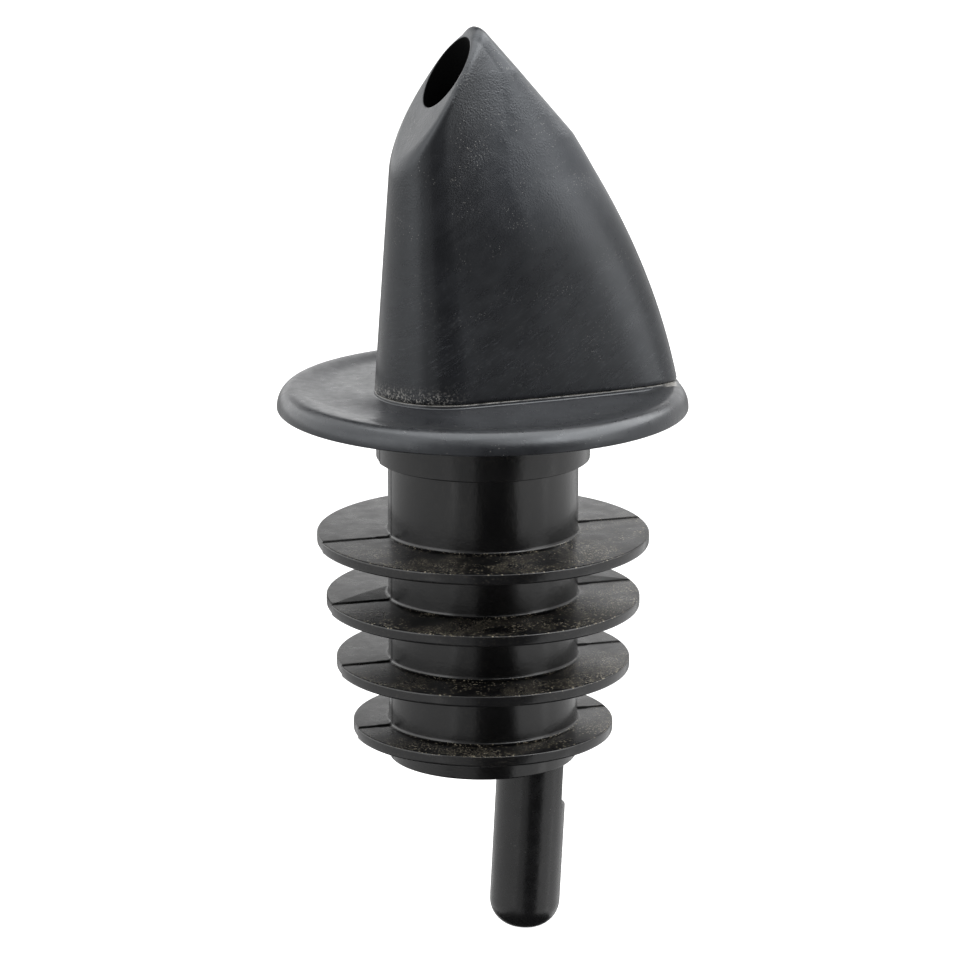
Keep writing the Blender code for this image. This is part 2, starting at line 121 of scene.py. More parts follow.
class Sections:
    """The hood's outline at any height, as a function that is zero on it and negative inside."""

    def __init__(self, inset=0.0, fixed_z=None):
        self.inset = inset
        self.fixed_z = fixed_z

    def sizes(self, z):
        """Nose centre and radius, half width, corner, back length, squareness, splay at each height."""
        if self.fixed_z is not None:
            z = np.full_like(z, self.fixed_z)
        lower = np.clip((z - SEAM_Z) / (NOSE_TOP_Z - SEAM_Z), 0.0, 1.0)
        upper = np.clip((z - NOSE_TOP_Z) / (TIP_Z - NOSE_TOP_Z), 0.0, NOSE_RUN_ON)
        centre = lerp(NOSE_CENTRE[0], NOSE_CENTRE[1], lower)
        radius = lerp(NOSE_RADIUS[0], NOSE_RADIUS[1], lower) + (NOSE_RADIUS[2] - NOSE_RADIUS[1]) * upper
        below = lerp(SIDE_HALF[0], SIDE_HALF[1], (z - SEAM_Z) / (SIDE_SHOULDER_Z - SEAM_Z))
        above = lerp(SIDE_HALF[1], SIDE_HALF[2], (z - SIDE_SHOULDER_Z) / (TIP_Z - SIDE_SHOULDER_Z))
        width = np.maximum(-smooth_max(-below, -above, SHOULDER_ROUNDING), LEAST_SIDE_HALF)
        left = 1.0 - (BACK_KINK_Z - z) / (BACK_KINK_Z - SEAM_Z)
        arc = 1.0 - left * left * BACK_ARC_SHARE - left * (1.0 - BACK_ARC_SHARE)
        slope = lerp(BACK_KINK_X, BACK_TIP_X, (z - BACK_KINK_Z) / (TIP_Z - BACK_KINK_Z))
        back = np.where(z >= BACK_KINK_Z, slope, lerp(BACK_KINK_X, BACK_BASE_X, arc))
        square = np.clip((SQUARE_END_Z - z) / (SQUARE_END_Z - SEAM_Z), 0.0, 1.0)
        corner = np.minimum(lerp(BACK_CORNER_X[1], BACK_CORNER_X[0], square), back - width)
        power = lerp(SQUARENESS[1], SQUARENESS[0], square)
        splay = np.arcsin(np.clip((width - radius) / (corner - centre), -SPLAY_LIMIT, SPLAY_LIMIT))
        length = back - corner - self.inset
        return centre, radius - self.inset, width - self.inset, corner, length, power, splay

    def __call__(self, points):
        x, y, z = points[..., 0], np.abs(points[..., 1]), points[..., 2]
        centre, radius, width, corner, length, power, splay = self.sizes(z)
        touch_x = centre - radius * np.sin(splay)
        touch_y = radius * np.cos(splay)
        nose = np.hypot(x - centre, y) - radius
        run = (width - touch_y) / (corner - touch_x)
        side = (y - touch_y - run * (x - touch_x)) / np.sqrt(1.0 + run * run)
        along = np.maximum(x - corner, 0.0) / length
        across = y / width
        back = ((along**power + across**power) ** (1.0 / power) - 1.0) * width
        body = np.where(x < corner, side, back)
        reach = CORNER_ROUNDING * np.clip((SIDE_SHOULDER_Z - z) / (SIDE_SHOULDER_Z - SEAM_Z), 0.0, 1.0)
        body = np.where(reach > 0.0, smooth_max(side, back, np.maximum(reach, 1e-9)), body)
        return np.where(x < touch_x, nose, body)


def smooth_max(a, b, reach):
    """The larger of two values, rounded off where they are closer than reach."""
    near = np.maximum(reach - np.abs(a - b), 0.0) / reach
    return np.maximum(a, b) + near * near * reach / 4.0


def facet_distance(points):
    """How far points stand out from the slanted face; negative inside."""
    normal = np.array((-math.sin(FACET_SLOPE), 0.0, math.cos(FACET_SLOPE)))
    return (points - FACET_POINT) @ normal


outer_sections = Sections()
inner_sections = Sections(HOOD_WALL)


def hood_surface(points):
    """Zero on the hood's outside and negative inside."""
    low, high = TIP_ROUNDING_Z
    share = np.clip((points[..., 2] - low) / (high - low), 0.0, 1.0)
    reach = lerp(FACET_ROUNDING, TIP_ROUNDING, share * share * (3 - 2 * share))
    return smooth_max(outer_sections(points), facet_distance(points), reach)


def cast(surface, origins, directions, reach=RAY_REACH):
    """Where rays from inside leave the surface, found by halving."""
    near = np.zeros(origins.shape[:-1])
    far = np.full(origins.shape[:-1], reach)
    for _ in range(HALVINGS):
        middle = (near + far) / 2
        inside = surface(origins + directions * middle[..., None]) < 0
        near = np.where(inside, middle, near)
        far = np.where(inside, far, middle)
    return origins + directions * near[..., None]


def flat_directions():
    """Level directions, one for each point of a ring."""
    angle = np.arange(ROUND) * 2 * math.pi / ROUND
    return np.stack((np.cos(angle), np.sin(angle), np.zeros(ROUND)), axis=-1)


def ring_at(surface, core_x, z):
    """The surface's outline at one height."""
    core = np.broadcast_to((core_x, 0.0, z), (ROUND, 3))
    return cast(surface, core, flat_directions())


# ---------------------------------------------------------------- mesh helpers
def mesh_object(name, points, faces, material):
    mesh = bpy.data.meshes.new(name)
    mesh.from_pydata([tuple(point) for point in points], [], faces)
    shape = bmesh.new()
    shape.from_mesh(mesh)
    bmesh.ops.recalc_face_normals(shape, faces=shape.faces)
    shape.to_mesh(mesh)
    shape.free()
    mesh.shade_smooth()
    mesh.set_sharp_from_angle(angle=SHARP_ANGLE)
    mesh.materials.append(material)
    obj = bpy.data.objects.new(name, mesh)
    bpy.context.scene.collection.objects.link(obj)
    return obj


def skin(name, rings, material):
    """Quads over rings of equal length, with the last ring joined to the first."""
    count = len(rings[0])
    points = np.concatenate([np.asarray(ring, float) for ring in rings])
    faces = []
    for row in range(len(rings)):
        low = row * count
        high = (row + 1) % len(rings) * count
        for step in range(count):
            after = (step + 1) % count
            faces.append((low + step, low + after, high + after, high + step))
    return mesh_object(name, points, faces, material)


def turned(name, profile, material, steps=ROUND):
    """A closed profile of (radius, z) turned about Z; a point on the axis becomes one vertex."""
    points, rings = [], []
    for radius, z in profile:
        if radius == 0.0:
            rings.append([len(points)] * steps)
            points.append((0.0, 0.0, z))
            continue
        rings.append(list(range(len(points), len(points) + steps)))
        for step in range(steps):
            angle = 2 * math.pi * step / steps
            points.append((radius * math.cos(angle), radius * math.sin(angle), z))
    faces = []
    for first, second in zip(rings, rings[1:] + rings[:1]):
        for step in range(steps):
            after = (step + 1) % steps
            corners = list(dict.fromkeys((first[step], first[after], second[after], second[step])))
            if len(corners) > 2:
                faces.append(corners)
    return mesh_object(name, points, faces, material)


def plug(name, radius, low, high, material, steps):
    """A cylinder along Z, used to cut a hole."""
    return turned(name, [(0.0, low), (radius, low), (radius, high), (0.0, high)], material, steps)


def quarter_turn(first, steps):
    """Angles up to a right angle; first is 0 to include the start, or 1."""
    return [math.pi / 2 * step / steps for step in range(first, steps + 1)]


def rounded(profile, roundings, steps=4):
    """A closed profile with each corner replaced by a curve that starts its rounding away."""
    count = len(profile)
    made = []
    for index, corner in enumerate(profile):
        reach = roundings[index]
        if reach <= 0.0:
            made.append(corner)
            continue
        corner = np.array(corner)
        before = np.array(profile[index - 1]) - corner
        after = np.array(profile[(index + 1) % count]) - corner
        start = corner + before / np.linalg.norm(before) * reach
        end = corner + after / np.linalg.norm(after) * reach
        for step in range(steps + 1):
            t = step / steps
            made.append(tuple((1 - t) ** 2 * start + 2 * t * (1 - t) * corner + t * t * end))
    return made


def cut(target, tool, operation="DIFFERENCE"):
    """Applies a Boolean and removes the tool."""
    modifier = target.modifiers.new("cut", "BOOLEAN")
    modifier.operation = operation
    modifier.solver = "EXACT"
    modifier.object = tool
    graph = bpy.context.evaluated_depsgraph_get()
    made = bpy.data.meshes.new_from_object(target.evaluated_get(graph))
    target.modifiers.clear()
    old = target.data
    target.data = made
    bpy.data.meshes.remove(old)
    bpy.data.objects.remove(tool, do_unlink=True)
    made.set_sharp_from_angle(angle=SHARP_ANGLE)


def place_mesh(obj, matrix):
    """Moves the mesh itself, so the object's own axes stay the frame's."""
    obj.data.transform(matrix)
    obj.data.update()


# ---------------------------------------------------------------- materials
class Nodes:
    """Short names for the shader nodes that the materials share. Texture space is in millimetres."""

    def __init__(self, name):
        self.material = bpy.data.materials.new(name)
        self.material.use_nodes = True
        self.tree = self.material.node_tree
        self.shader = self.tree.nodes["Principled BSDF"]
        where = self.tree.nodes.new("ShaderNodeTexCoord")
        scaled = self.tree.nodes.new("ShaderNodeMapping")
        scaled.inputs["Scale"].default_value = (1 / MM, 1 / MM, 1 / MM)
        self.link(where.outputs["Object"], scaled.inputs["Vector"])
        self.space = scaled.outputs["Vector"]

    def link(self, output, socket):
        self.tree.links.new(output, socket)

    def stretched(self, scale, turn=(0.0, 0.0, 0.0)):
        """Texture space turned first and then scaled along its own axes."""
        made = self.tree.nodes.new("ShaderNodeMapping")
        made.vector_type = "TEXTURE"
        made.inputs["Scale"].default_value = tuple(1.0 / value for value in scale)
        made.inputs["Rotation"].default_value = turn
        self.link(self.space, made.inputs["Vector"])
        return made.outputs["Vector"]

    def noise(self, scale, detail=3.0, roughness=0.55, space=None):
        made = self.tree.nodes.new("ShaderNodeTexNoise")
        made.inputs["Scale"].default_value = scale
        made.inputs["Detail"].default_value = detail
        made.inputs["Roughness"].default_value = roughness
        self.link(space or self.space, made.inputs["Vector"])
        return made.outputs["Fac"]

    def cells(self, scale):
        """Distance to the middle of the nearest cell."""
        made = self.tree.nodes.new("ShaderNodeTexVoronoi")
        made.inputs["Scale"].default_value = scale
        self.link(self.space, made.inputs["Vector"])
        return made.outputs["Distance"]

    def ramp(self, value, low, high, to_low=0.0, to_high=1.0):
        """A smooth step from to_low, where value is low, to to_high, where it is high."""
        made = self.tree.nodes.new("ShaderNodeMapRange")
        made.interpolation_type = "SMOOTHSTEP"
        limits = {"From Min": low, "From Max": high, "To Min": to_low, "To Max": to_high}
        for socket, number in limits.items():
            made.inputs[socket].default_value = number
        self.link(value, made.inputs["Value"])
        return made.outputs["Result"]

    def math(self, operation, first, second):
        made = self.tree.nodes.new("ShaderNodeMath")
        made.operation = operation
        for socket, value in zip(made.inputs, (first, second)):
            if isinstance(value, (int, float)):
                socket.default_value = value
            else:
                self.link(value, socket)
        return made.outputs["Value"]

    def times(self, first, second):
        return self.math("MULTIPLY", first, second)

    def plus(self, first, second):
        return self.math("ADD", first, second)

    def absolute(self, value):
        return self.math("ABSOLUTE", value, 0.0)

    def larger(self, first, second):
        return self.math("MAXIMUM", first, second)

    def distance(self, *parts):
        """The length of a vector from its parts."""
        total = self.times(parts[0], parts[0])
        for part in parts[1:]:
            total = self.plus(total, self.times(part, part))
        return self.math("SQRT", total, 0.0)

    def mix(self, share, first, second):
        made = self.tree.nodes.new("ShaderNodeMix")
        made.data_type = "RGBA"
        self.link(share, made.inputs["Factor"])
        for socket, value in zip((made.inputs["A"], made.inputs["B"]), (first, second)):
            if isinstance(value, tuple):
                socket.default_value = (*value, 1.0)
            else:
                self.link(value, socket)
        return made.outputs["Result"]

    def cloudy(self, scale, first, second, detail=4.0):
        """Two colours in soft clouds."""
        return self.mix(self.ramp(self.noise(scale, detail), 0.3, 0.7), first, second)

    def upness(self):
        """One where the surface faces up, zero where it is upright, minus one where it faces down."""
        found = self.tree.nodes.new("ShaderNodeNewGeometry")
        split = self.tree.nodes.new("ShaderNodeSeparateXYZ")
        self.link(found.outputs["Normal"], split.inputs["Vector"])
        return split.outputs["Z"]

    def place(self, axis):
        """One coordinate of the point, in millimetres."""
        split = self.tree.nodes.new("ShaderNodeSeparateXYZ")
        self.link(self.space, split.inputs["Vector"])
        return split.outputs[axis]

    def bump(self, height, depth_mm):
        made = self.tree.nodes.new("ShaderNodeBump")
        made.inputs["Strength"].default_value = 1.0
        made.inputs["Distance"].default_value = depth_mm * MM
        self.link(height, made.inputs["Height"])
        return made.outputs["Normal"]

    def finish(self, colour, roughness, normal=None):
        """Sets a plain value or links a node's output to each socket, and gives the material."""
        for value, socket in ((colour, "Base Color"), (roughness, "Roughness"), (normal, "Normal")):
            if value is None:
                continue
            if isinstance(value, tuple):
                self.shader.inputs[socket].default_value = (*value, 1.0)
            elif isinstance(value, (int, float)):
                self.shader.inputs[socket].default_value = value
            else:
                self.link(value, self.shader.inputs[socket])
        return self.material


# Places and sizes in the materials are in millimetres. A pair of places is where a ramp starts and ends.
COOL_SHINE = (0.92, 0.96, 1.0, 1.0)
# Pale colour of the dust specks, also used for the painted highlight on the seam's flash.
DUST_AND_FLASH_HIGHLIGHT = (0.30, 0.29, 0.27)
CORK_DUST = (0.28, 0.25, 0.19)
PAINTED_SHEEN = (0.020, 0.022, 0.026)
# Painted highlight colour for the top of the hood's back.
SCRATCH = (0.040, 0.042, 0.046)
# Painted shade colour inside the outlet bore; also the colour of the cork's dark parting line and wedge.
DEEP_BLACK = (0.001, 0.001, 0.001)
ROUGH_SPOT = (-1.7, 2.2, 24.7)  # beside the outlet
COLLAR_CREST = (14.0, 13.2)  # radii; the crest is as high as the seam, and gets no painted flash highlight
BACK_CORNER = {"X": (2.0, 6.0), "Y": (6.5, 6.1)}  # where the hood comes out as far as the crest
PARTING_AZIMUTH = math.radians(-8.0)
LINE_HALF_WIDTH = (0.42, 0.10)  # of the parting line, on the stem and out on the fins
WEDGE_RADIUS = 12.0  # where the dark wedge on the second fin runs out
WEDGE_SPREAD = 0.95


def specks(nodes, scale, size, patch_scale, patch_low, patch_high):
    """Scattered specks: the middles of small cells, kept only inside cloudy patches."""
    dots = nodes.ramp(nodes.cells(scale), size, size * 0.5)
    patches = nodes.ramp(nodes.noise(patch_scale, 2.0), patch_low, patch_high)
    return nodes.times(dots, patches)


def radius_from_axis(nodes):
    return nodes.distance(nodes.place("X"), nodes.place("Y"))


def distance_from(nodes, spot):
    """Distance from a point or its mirror image on the other side of the hood."""
    x = nodes.plus(nodes.place("X"), -spot[0])
    y = nodes.plus(nodes.absolute(nodes.place("Y")), -spot[1])
    z = nodes.plus(nodes.place("Z"), -spot[2])
    return nodes.distance(x, y, z)


def above_seam(nodes):
    """How far a point is above or below the seam."""
    return nodes.absolute(nodes.plus(nodes.place("Z"), -SEAM_Z / MM))


def inside_crest(nodes):
    """One where the hood meets the collar, zero on the collar's crest, which is as high."""
    inside = nodes.ramp(radius_from_axis(nodes), *COLLAR_CREST)
    along = nodes.ramp(nodes.place("X"), *BACK_CORNER["X"])
    across = nodes.ramp(nodes.absolute(nodes.place("Y")), *BACK_CORNER["Y"])
    return nodes.larger(inside, nodes.times(along, across))


def flash_highlight_line(nodes):
    """A fine pale line along the seam: painted highlight on the moulding flash there, brighter in places."""
    line = nodes.ramp(above_seam(nodes), 0.16, 0.05)
    brightness = nodes.ramp(nodes.noise(1.2, 4.0, 0.7), 0.35, 0.55, 0.25, 1.0)
    return nodes.times(nodes.times(line, brightness), inside_crest(nodes))


def seam_dust(nodes):
    """Dust caught above the seam, most at the nose."""
    near = nodes.ramp(above_seam(nodes), 1.5, 0.1)
    nose = nodes.ramp(nodes.place("X"), -3.0, -7.5)
    broken = nodes.ramp(nodes.noise(6.0, 3.0, 0.7), 0.52, 0.60)
    return nodes.times(nodes.times(nodes.times(near, nose), broken), inside_crest(nodes))


def bore_share(nodes):
    """One inside the outlet bore, zero outside it."""
    moved = nodes.tree.nodes.new("ShaderNodeMapping")
    moved.vector_type = "TEXTURE"
    moved.inputs["Location"].default_value = tuple(FACET_POINT / MM)
    moved.inputs["Rotation"].default_value = (0.0, -OUTLET_TILT, 0.0)
    nodes.link(nodes.space, moved.inputs["Vector"])
    split = nodes.tree.nodes.new("ShaderNodeSeparateXYZ")
    nodes.link(moved.outputs["Vector"], split.inputs["Vector"])
    away = nodes.distance(split.outputs["X"], split.outputs["Y"])
    return nodes.ramp(away, OUTLET_RADIUS / MM + 0.08, OUTLET_RADIUS / MM + 0.02)


def hood_grain(nodes, high):
    """Fine moulded grain: faint low down, in patches higher up and coarsest beside the outlet."""
    patches = nodes.times(nodes.ramp(nodes.noise(0.5, 2.0), 0.40, 0.60), high)
    spot = nodes.times(nodes.ramp(distance_from(nodes, ROUGH_SPOT), 3.4, 1.0), 1.3)
    everywhere = nodes.ramp(nodes.place("Z"), 8.0, 18.0, 0.06, 0.25)
    share = nodes.plus(nodes.plus(nodes.times(patches, 0.75), everywhere), spot)
    return nodes.bump(nodes.times(nodes.noise(7.0, 2.0, 0.5), share), 0.028)


def hood_scratches(nodes):
    """Fine slanting scratches on the lower half: the lines where a stretched noise is a half."""
    streaks = nodes.noise(1.2, 3.0, 0.6, nodes.stretched((0.3, 0.3, 3.0), (0.0, -0.55, 0.0)))
    lines = nodes.ramp(nodes.absolute(nodes.plus(streaks, -0.5)), 0.012, 0.0)
    return nodes.times(lines, nodes.ramp(nodes.place("Z"), 16.0, 4.0))


def hood_material():
    """Moulded black plastic with a painted pale bluish highlight at the top of the back, painted shade in
    the outlet bore, and dust, smears and scratches.
    """
    nodes = Nodes("hood_black")
    nodes.shader.inputs["Specular Tint"].default_value = COOL_SHINE
    high = nodes.ramp(nodes.place("Z"), 10.0, 24.0)
    bore = bore_share(nodes)
    base = nodes.cloudy(0.35, (0.004, 0.0042, 0.005), (0.007, 0.0074, 0.0086))
    # Painted highlight: towards the top of the back, and towards +X, the base colour is lightened to a pale
    # bluish grey.
    top = nodes.ramp(nodes.place("Z"), 12.0, 20.0)
    sheen_share = nodes.times(nodes.ramp(nodes.place("X"), -3.5, 1.5), top)
    base = nodes.mix(nodes.times(sheen_share, 0.6), base, PAINTED_SHEEN)
    dust = nodes.times(specks(nodes, 5.0, 0.20, 0.45, 0.50, 0.66), nodes.plus(nodes.times(high, 0.3), 0.2))
    colour = nodes.mix(nodes.larger(dust, nodes.times(seam_dust(nodes), 0.6)), base, DUST_AND_FLASH_HIGHLIGHT)
    # Painted shade: the inside of the outlet bore is painted deep black, and further down its specular level
    # falls almost to nothing.
    colour = nodes.mix(bore, colour, DEEP_BLACK)
    colour = nodes.mix(nodes.times(hood_scratches(nodes), 0.5), colour, SCRATCH)
    smears = nodes.noise(0.5, 4.0, 0.55, nodes.stretched((1.0, 1.0, 2.5), (0.0, -0.6, 0.0)))
    rough = nodes.plus(nodes.ramp(smears, 0.3, 0.7, 0.26, 0.31), nodes.times(high, 0.06))
    rough = nodes.plus(rough, nodes.times(bore, 0.4))
    nodes.link(nodes.ramp(bore, 0.0, 1.0, 0.5, 0.03), nodes.shader.inputs["Specular IOR Level"])
    return nodes.finish(colour, rough, hood_grain(nodes, high))


def collar_material():
    nodes = Nodes("collar_black")
    nodes.shader.inputs["Specular Tint"].default_value = COOL_SHINE
    base = nodes.cloudy(0.4, (0.006, 0.0063, 0.0073), (0.010, 0.0105, 0.012))
    dust = nodes.times(specks(nodes, 4.5, 0.18, 0.5, 0.52, 0.68), 0.5)
    # The collar's pale seam line is painted highlight on the flash, in the same pale colour as the dust
    # specks.
    colour = nodes.mix(nodes.larger(dust, nodes.times(flash_highlight_line(nodes), 0.7)), base, DUST_AND_FLASH_HIGHLIGHT)
    rough = nodes.ramp(nodes.noise(1.3, 4.0, 0.6), 0.25, 0.75, 0.26, 0.36)
    return nodes.finish(colour, rough, nodes.bump(nodes.noise(5.0, 3.0, 0.6), 0.008))


def cork_dust(nodes, up):
    """Coarse and fine specks on what faces up, most at the front, over a thin film."""
    front = nodes.ramp(nodes.place("Y"), 3.0, -7.0, 0.1, 1.0)
    coarse = specks(nodes, 3.2, 0.30, 0.35, 0.42, 0.58)
    fine = specks(nodes, 6.5, 0.34, 0.28, 0.42, 0.54)
    dots = nodes.times(nodes.times(nodes.times(nodes.larger(coarse, fine), 0.8), up), front)
    film = nodes.times(nodes.ramp(nodes.noise(0.7, 5.0, 0.7), 0.45, 0.75), 0.02)
    return nodes.larger(dots, nodes.times(film, up))


def parting_marks(nodes):
    """The cork's dark parting line, and a dark wedge that widens from it on the second fin."""
    across = nodes.plus(
        nodes.times(nodes.place("X"), -math.sin(PARTING_AZIMUTH)),
        nodes.times(nodes.place("Y"), math.cos(PARTING_AZIMUTH)),
    )
    radius = radius_from_axis(nodes)
    half = nodes.ramp(radius, 8.3, 8.7, *LINE_HALF_WIDTH)
    line = nodes.ramp(nodes.math("DIVIDE", nodes.absolute(across), half), 1.0, 0.6)
    width = nodes.times(nodes.plus(nodes.times(radius, -1.0), WEDGE_RADIUS), WEDGE_SPREAD)
    wedge = nodes.ramp(nodes.math("DIVIDE", across, width), 1.0, 0.8)
    wedge = nodes.times(wedge, nodes.ramp(across, -0.02, 0.02))
    off_second_fin = nodes.absolute(nodes.plus(nodes.place("Z"), -FIN_TOPS[1] / MM))
    wedge = nodes.times(wedge, nodes.ramp(off_second_fin, 0.5, 0.4))
    wedge = nodes.times(wedge, nodes.ramp(radius, 7.45, 7.6))
    return nodes.larger(line, nodes.times(wedge, 0.85))


def cork_material():
    """Softer black plastic: glossy on the stem, dull and dusty on the tops of the fins."""
    nodes = Nodes("cork_black")
    up = nodes.ramp(nodes.upness(), 0.3, 0.9, 0.04, 1.0)
    mark = parting_marks(nodes)
    base = nodes.cloudy(0.3, (0.0020, 0.0020, 0.0022), (0.0040, 0.0040, 0.0043))
    colour = nodes.mix(mark, nodes.mix(cork_dust(nodes, up), base, CORK_DUST), DEEP_BLACK)
    shine = nodes.times(nodes.ramp(up, 0.1, 0.9, 0.5, 0.13), nodes.ramp(mark, 0.0, 1.0, 1.0, 0.12))
    nodes.link(shine, nodes.shader.inputs["Specular IOR Level"])
    flow = nodes.noise(0.6, 5.0, 0.65, nodes.stretched((1.0, 1.0, 0.5)))
    rough = nodes.plus(nodes.ramp(flow, 0.25, 0.75, 0.16, 0.27), nodes.times(up, 0.08))
    return nodes.finish(colour, rough, nodes.bump(nodes.noise(3.0, 4.0, 0.6), 0.012))


def tube_material():
    nodes = Nodes("tube_black")
    base = nodes.cloudy(0.4, (0.002, 0.002, 0.0022), (0.004, 0.004, 0.0043), 3.0)
    dust = nodes.times(specks(nodes, 4.0, 0.12, 0.5, 0.55, 0.7), 0.5)
    rough = nodes.ramp(nodes.noise(1.0, 4.0, 0.6), 0.25, 0.75, 0.20, 0.32)
    return nodes.finish(nodes.mix(dust, base, DUST_AND_FLASH_HIGHLIGHT), rough, nodes.bump(nodes.noise(3.5, 4.0, 0.6), 0.012))


def steel_material():
    nodes = Nodes("ball_steel")
    nodes.shader.inputs["Metallic"].default_value = 1.0
    rough = nodes.ramp(nodes.noise(2.0, 3.0), 0.3, 0.7, 0.10, 0.18)
    return nodes.finish((0.62, 0.62, 0.64), rough)


def light_plastic(name, colour, shade):
    nodes = Nodes(name)
    rough = nodes.ramp(nodes.noise(1.5, 3.0), 0.3, 0.7, 0.38, 0.48)
    grain = nodes.bump(nodes.noise(4.0, 3.0), 0.008)
    return nodes.finish(nodes.cloudy(0.6, colour, shade, 3.0), rough, grain)


# ---------------------------------------------------------------- hood
BORE_UP = np.array((-math.sin(OUTLET_TILT), 0.0, math.cos(OUTLET_TILT)))
BORE_BACK = np.array((math.cos(OUTLET_TILT), 0.0, math.sin(OUTLET_TILT)))
HOOD_CORE = FACET_POINT - BORE_UP * CORE_DEPTH
VENT_HOLE_RADIUS = 1.0 * MM
VENT_HOLE_DEPTHS = (-2 * MM, 6 * MM)  # from the vent tube's end


def lip_ring(around, radius):
    """Where a cylinder round the bore's axis meets the outside."""
    start = HOOD_CORE + around * radius
    return cast(hood_surface, start, np.broadcast_to(BORE_UP, start.shape), LIP_RAY_REACH)


def bore_rings(around, roof):
    """Up the outlet bore from the hollow's roof and over the rounded lip."""
    lip = lip_ring(around, OUTLET_RADIUS)
    below_lip = lip - BORE_UP * LIP_ROUNDING
    beyond_lip = lip_ring(around, OUTLET_RADIUS + LIP_ROUNDING)
    steps = 14
    rings = [lerp(roof, below_lip, (step / steps) ** 0.7) for step in range(steps + 1)]
    steps = 5
    for step in range(1, steps):
        t = step / steps
        rings.append((1 - t) ** 2 * below_lip + 2 * t * (1 - t) * lip + t * t * beyond_lip)
    rings.append(beyond_lip)
    return rings


def outer_rings(beyond_lip):
    """Rays that swing from the lip down to level, then level outlines down to the seam."""
    rings = []
    start = beyond_lip - HOOD_CORE
    start /= np.linalg.norm(start, axis=-1, keepdims=True)
    flat = flat_directions()
    spread = np.arccos(np.clip((start * flat).sum(-1), -1.0, 1.0))[:, None]
    steps = 60
    for step in range(1, steps + 1):
        t = step / steps
        direction = (np.sin((1 - t) * spread) * start + np.sin(t * spread) * flat) / np.sin(spread)
        rings.append(cast(hood_surface, np.broadcast_to(HOOD_CORE, direction.shape), direction))
    steps = 70
    for step in range(1, steps + 1):
        z = lerp(HOOD_CORE[2], SEAM_Z + SEAM_ROUNDING, step / steps)
        rings.append(ring_at(hood_surface, lerp(HOOD_CORE[0], CORE_X, step / steps), z))
    for inset, rise in SEAM_EDGE:
        section = Sections(SEAM_ROUNDING * inset)
        rings.append(ring_at(section, CORE_X, SEAM_Z + SEAM_ROUNDING * rise))
    return rings


def hollow_rings(roof):
    """Up the hollow from the seam to its flat roof, which runs in to the bore's lower end."""
    roof_core_x = roof[:, 0].mean()
    steps = 16
    rings = []
    for step in range(steps + 1):
        core_x = lerp(CORE_X, roof_core_x, step / steps)
        rings.append(ring_at(inner_sections, core_x, lerp(SEAM_Z, HOLLOW_TOP_Z, step / steps)))
    return rings


def make_hood(material):
    """One closed skin: up the bore, over the lip and the facet, down the outside, back up the hollow."""
    flat = flat_directions()
    around = flat[:, :1] * BORE_BACK + flat[:, 1:2] * np.array((0.0, 1.0, 0.0))
    roof = FACET_POINT + around * OUTLET_RADIUS
    roof = roof - BORE_UP * ((roof[:, 2] - HOLLOW_TOP_Z) / BORE_UP[2])[:, None]
    rings = bore_rings(around, roof)
    rings += outer_rings(rings[-1])
    rings += hollow_rings(roof)
    hood = skin("hood_shell", rings, material)
    vent_low, vent_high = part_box("vent_tube")
    vent_z = vent_high.z - (vent_high.y - vent_low.y) / 2
    hole = plug("vent_hole", VENT_HOLE_RADIUS, *VENT_HOLE_DEPTHS, material, 48)
    hole.matrix_world = Matrix.Translation((vent_high.x, 0.0, vent_z)) @ Matrix.Rotation(math.pi / 2, 4, "Y")
    bpy.context.view_layer.update()
    cut(hood, hole)
    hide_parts("hood")
    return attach(hood, "root")


# ---------------------------------------------------------------- collar
RIM_RADIUS = 15.77 * MM
RIM_EDGE = 0.12 * MM  # rounding of the rim's lower edge
CREST = (14.6 * MM, 1.63 * MM)  # radius and height of the rim's highest ring
DISH = (12.2 * MM, 1.36 * MM)  # radius and height of the flat that the boss stands on
SPIGOT_RADIUS = 6.3 * MM
COLLAR_BORE = (3.7 * MM, 5.3 * MM)  # radius through the collar, and below COLLAR_BORE_STEP_Z
COLLAR_BORE_STEP_Z = -1.0 * MM
RECESS = (8.36 * MM, 0.3 * MM)  # radius and depth of the recess for the cork's sleeve
BOSS_TOP_Z = SEAM_Z - 0.06 * MM
BOSS_FOOT_Z = DISH[1] - 0.5 * MM  # inside the disc
BOSS_WALL = HOOD_WALL + 0.9 * MM
BOSS_FLARE = 0.14 * MM
BOSS_SINK = 0.02 * MM  # how far the flare's foot lies under the dish
BOSS_EDGE = ((0.1 * MM, 0.0), (0.03 * MM, 0.03 * MM), (0.0, 0.1 * MM))  # inset and fall of its upper edge


def collar_profile(foot_z):
    """From the spigot over the recess, the underside, the rim and the dish to the bore."""
    profile = [(COLLAR_BORE[1], foot_z), (SPIGOT_RADIUS, foot_z), (SPIGOT_RADIUS, RECESS[1])]
    profile += [RECESS, (RECESS[0], 0.0)]
    for turn in quarter_turn(0, 5):
        out = RIM_RADIUS - RIM_EDGE + RIM_EDGE * math.sin(turn)
        profile.append((out, RIM_EDGE - RIM_EDGE * math.cos(turn)))
    steps = 16
    for turn in quarter_turn(1, steps):
        out = lerp(CREST[0], RIM_RADIUS, math.cos(turn))
        profile.append((out, lerp(RIM_EDGE, CREST[1], math.sin(turn))))
    for step in range(1, steps + 1):
        fall = (1 - math.cos(math.pi * step / steps)) / 2
        profile.append((lerp(CREST[0], DISH[0], step / steps), lerp(CREST[1], DISH[1], fall)))
    step_z = COLLAR_BORE_STEP_Z
    return profile + [(COLLAR_BORE[0], DISH[1]), (COLLAR_BORE[0], step_z), (COLLAR_BORE[1], step_z)]


def boss_ring(inset, z):
    """The hood's outline at the seam, smaller by inset, at another height."""
    return ring_at(Sections(inset, SEAM_Z), CORE_X, z)


